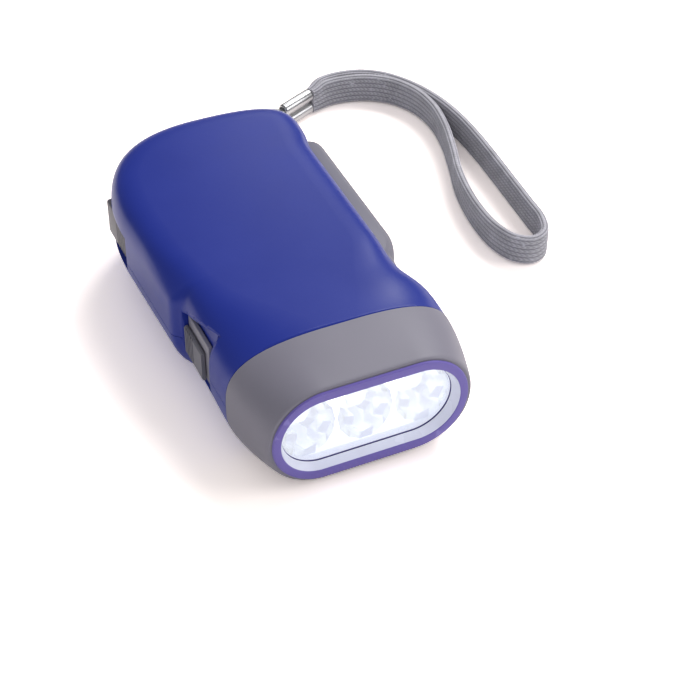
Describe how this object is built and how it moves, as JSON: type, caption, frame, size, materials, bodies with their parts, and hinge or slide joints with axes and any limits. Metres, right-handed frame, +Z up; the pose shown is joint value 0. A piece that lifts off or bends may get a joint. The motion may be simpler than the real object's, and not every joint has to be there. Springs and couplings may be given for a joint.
{
  "type": "hand squeeze dynamo flashlight",
  "caption": "Palm-sized dynamo flashlight: rounded blue housing, grey oval head with lit lamps, side squeeze lever, slide switch, lock slider and woven wrist strap.",
  "frame": {"origin": "on the flat of the belly, half way along the body and on the middle plane of the head", "axes": "+X towards the squeeze lever, +Y from the lamps towards the strap end, +Z up from the belly to the top of the housing"},
  "size_m": [0.1047, 0.1354, 0.0292],
  "materials": {
    "body_blue": "satin moulded plastic",
    "trim_grey": "fine-grained moulded plastic",
    "slider_grey": "matt moulded plastic",
    "rim_violet": "glossy translucent plastic",
    "clear_lens": "clear polycarbonate",
    "mirror_cup": "metallised plastic",
    "lamp_clear": "clear epoxy",
    "board_green": "solder resist",
    "pin_steel": "turned steel",
    "gear_white": "acetal",
    "rotor_dark": "moulded plastic",
    "magnet_grey": "sintered ferrite",
    "plate_brass": "stamped brass",
    "core_steel": "stacked laminations",
    "bobbin_cream": "moulded nylon",
    "coil_copper": "enamelled copper wire",
    "cell_steel": "nickel-plated can",
    "choke_black": "ferrite with sleeve",
    "switch_black": "moulded plastic",
    "crimp_chrome": "bright nickel plate",
    "loop_cord": "braided nylon",
    "strap_weave": "flat woven polyester"
  },
  "bodies": {
    "housing": {"top_shell": "body_blue", "bottom_shell": "body_blue", "bezel": "trim_grey", "lens_ring": "rim_violet", "lens": "clear_lens", "reflector": "mirror_cup", "lamp_left": "lamp_clear", "lamp_middle": "lamp_clear", "lamp_right": "lamp_clear", "lamp_board": "board_green", "lever_pin": "pin_steel", "lever_spring": "pin_steel", "first_axle": "pin_steel", "second_axle": "pin_steel", "rotor_axle": "pin_steel", "cell_contact": "plate_brass", "gear_plate": "plate_brass", "stator_core": "core_steel", "coil_bobbin": "bobbin_cream", "coil_winding": "coil_copper", "cell_lower": "cell_steel", "cell_middle": "cell_steel", "cell_upper": "cell_steel", "circuit_board": "board_green", "choke": "choke_black", "switch_block": "switch_black", "lug_pin": "pin_steel", "strap_loop_cord": "loop_cord", "strap_crimp": "crimp_chrome", "wrist_strap": "strap_weave", "screw_1": "pin_steel", "screw_2": "pin_steel", "screw_3": "pin_steel", "screw_4": "pin_steel"},
    "lever": {"squeeze_lever": "trim_grey"},
    "first_reduction": {"first_gear": "gear_white"},
    "second_reduction": {"second_gear": "gear_white"},
    "rotor": {"flywheel": "rotor_dark", "rotor_magnet": "magnet_grey"},
    "power_switch": {"switch_plate": "slider_grey", "switch_knob": "slider_grey"},
    "lever_lock": {"lock_slider": "slider_grey", "lock_bar": "slider_grey"}
  },
  "joints": [
    {"name": "lever_hinge", "type": "hinge", "parent": "housing", "child": "lever", "pos_m": [0.0182, -0.019, 0.0146], "axis": [0, 0, -1], "range_deg": [0, 20]},
    {"name": "first_gear_spin", "type": "hinge", "parent": "housing", "child": "first_reduction", "pos_m": [0.00158, 0.01037, 0.011], "axis": [0, 0, 1], "range_deg": [0, 100]},
    {"name": "second_gear_spin", "type": "hinge", "parent": "housing", "child": "second_reduction", "pos_m": [-0.00954, 0.02317, 0.013], "axis": [0, 0, -1], "range_deg": [0, 250]},
    {"name": "rotor_spin", "type": "hinge", "parent": "housing", "child": "rotor", "pos_m": [0.00462, 0.03007, 0.018], "axis": [0, 0, 1], "range_deg": [0, 500]},
    {"name": "power_switch_slide", "type": "slide", "parent": "housing", "child": "power_switch", "axis": [0, -1, 0], "range_m": [0, 0.002]},
    {"name": "lever_lock_slide", "type": "slide", "parent": "housing", "child": "lever_lock", "axis": [0, 1, 0], "range_m": [0, 0.003]}
  ],
  "couplings": [
    {"joint": "first_gear_spin", "follows": "lever_hinge", "ratio": 5},
    {"joint": "second_gear_spin", "follows": "lever_hinge", "ratio": 12.5},
    {"joint": "rotor_spin", "follows": "lever_hinge", "ratio": 25}
  ]
}
